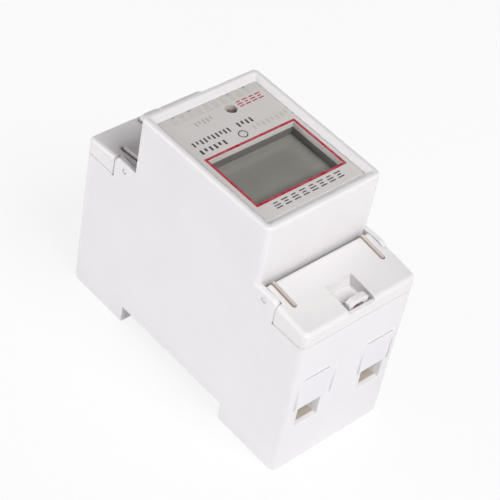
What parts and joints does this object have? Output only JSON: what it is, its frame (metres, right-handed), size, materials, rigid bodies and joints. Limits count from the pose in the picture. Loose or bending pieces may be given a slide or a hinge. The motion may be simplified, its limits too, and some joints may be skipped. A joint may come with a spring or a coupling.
{
  "type": "din rail energy meter",
  "caption": "Slim off-white electricity meter for a mounting rail, with raised display front, hinged sealable terminal covers, screw clamps and a sprung rail latch.",
  "frame": {"origin": "centre of the meter's outline, on the plane of its rear feet", "axes": "+Z out of the front, +Y along the length towards the rail latch's end, +X across the width; the reader of the front stands at -Y"},
  "size_m": [0.036, 0.0796, 0.0669],
  "materials": {
    "housing": "fine moulded satin, off-white",
    "cover_plastic": "fine moulded satin, off-white",
    "latch_plastic": "moulded satin",
    "faceplate": "fine grained matt, light grey",
    "dark_plastic": "dark grey",
    "display_glass": "grey display glass, unlit",
    "reflector": "white sheet",
    "tinned_metal": "tinned",
    "circuit_board": "green resist",
    "lamp_resin": "tinted clear resin, unlit",
    "bar_metal": "plain rolled",
    "shunt_metal": "plain rolled resistance alloy",
    "steel": "zinc plated",
    "spring_steel": "drawn wire",
    "cage_metal": "zinc plated",
    "screw_metal": "zinc plated",
    "can_metal": "drawn can",
    "yellow_plastic": "boxed",
    "blue_resin": "dipped resin",
    "dark_ink": "printed, dark grey",
    "red_ink": "printed, red",
    "pale_ink": "printed, beige",
    "worn_ink": "printed, faint grey"
  },
  "bodies": {
    "case": {"case_shell": "housing", "rear_base": "housing", "case_screws": "steel", "latch_spring": "spring_steel", "front_plate": "faceplate", "display_frame": "dark_plastic", "lcd_glass": "display_glass", "lcd_reflector": "reflector", "lcd_pins": "tinned_metal", "display_board": "circuit_board", "display_screws": "steel", "pulse_led": "lamp_resin", "neutral_bar": "bar_metal", "line_bar_near": "bar_metal", "line_bar_far": "bar_metal", "shunt_strip": "shunt_metal", "sense_posts": "tinned_metal", "main_board": "circuit_board", "board_screws": "steel", "board_link": "dark_plastic", "film_capacitor": "yellow_plastic", "smoothing_capacitor": "can_metal", "varistor": "blue_resin", "crystal": "can_metal", "metering_chip": "dark_plastic", "controller_chip": "dark_plastic", "isolator_chip": "dark_plastic"},
    "near_cover": {"near_terminal_cover": "cover_plastic"},
    "far_cover": {"far_terminal_cover": "cover_plastic"},
    "latch": {"rail_latch": "latch_plastic"},
    "near_left_clamp_screw": {"near_left_screw": "screw_metal"},
    "near_left_clamp_cage": {"near_left_cage": "cage_metal"},
    "near_right_clamp_screw": {"near_right_screw": "screw_metal"},
    "near_right_clamp_cage": {"near_right_cage": "cage_metal"},
    "far_left_clamp_screw": {"far_left_screw": "screw_metal"},
    "far_left_clamp_cage": {"far_left_cage": "cage_metal"},
    "far_right_clamp_screw": {"far_right_screw": "screw_metal"},
    "far_right_clamp_cage": {"far_right_cage": "cage_metal"}
  },
  "joints": [
    {"name": "near_cover_hinge", "type": "hinge", "parent": "case", "child": "near_cover", "pos_m": [0, -0.0255, 0.0474], "axis": [-1, 0, 0], "range_deg": [0, 95]},
    {"name": "far_cover_hinge", "type": "hinge", "parent": "case", "child": "far_cover", "pos_m": [0, 0.0255, 0.0474], "axis": [1, 0, 0], "range_deg": [0, 95]},
    {"name": "latch_slide", "type": "slide", "parent": "case", "child": "latch", "axis": [0, 1, 0], "range_m": [0, 0.0035], "stiffness_N_per_m": 600, "springref_m": -0.003, "deforming": ["latch_spring"]},
    {"name": "near_left_screw_turn", "type": "hinge", "parent": "case", "child": "near_left_clamp_screw", "pos_m": [-0.0105, -0.0327, 0.03], "axis": [0, 0, -1], "range_deg": [0, 2521]},
    {"name": "near_left_cage_lift", "type": "slide", "parent": "case", "child": "near_left_clamp_cage", "axis": [0, 0, 1], "range_m": [0, 0.0056]},
    {"name": "near_right_screw_turn", "type": "hinge", "parent": "case", "child": "near_right_clamp_screw", "pos_m": [0.0105, -0.0327, 0.03], "axis": [0, 0, -1], "range_deg": [0, 2521]},
    {"name": "near_right_cage_lift", "type": "slide", "parent": "case", "child": "near_right_clamp_cage", "axis": [0, 0, 1], "range_m": [0, 0.0056]},
    {"name": "far_left_screw_turn", "type": "hinge", "parent": "case", "child": "far_left_clamp_screw", "pos_m": [-0.0105, 0.0327, 0.03], "axis": [0, 0, -1], "range_deg": [0, 2521]},
    {"name": "far_left_cage_lift", "type": "slide", "parent": "case", "child": "far_left_clamp_cage", "axis": [0, 0, 1], "range_m": [0, 0.0056]},
    {"name": "far_right_screw_turn", "type": "hinge", "parent": "case", "child": "far_right_clamp_screw", "pos_m": [0.0105, 0.0327, 0.03], "axis": [0, 0, -1], "range_deg": [0, 2521]},
    {"name": "far_right_cage_lift", "type": "slide", "parent": "case", "child": "far_right_clamp_cage", "axis": [0, 0, 1], "range_m": [0, 0.0056]}
  ],
  "couplings": [
    {"joint": "near_left_screw_turn", "follows": "near_left_cage_lift", "rad_per_m": 7854},
    {"joint": "near_right_screw_turn", "follows": "near_right_cage_lift", "rad_per_m": 7854},
    {"joint": "far_left_screw_turn", "follows": "far_left_cage_lift", "rad_per_m": 7854},
    {"joint": "far_right_screw_turn", "follows": "far_right_cage_lift", "rad_per_m": 7854}
  ]
}
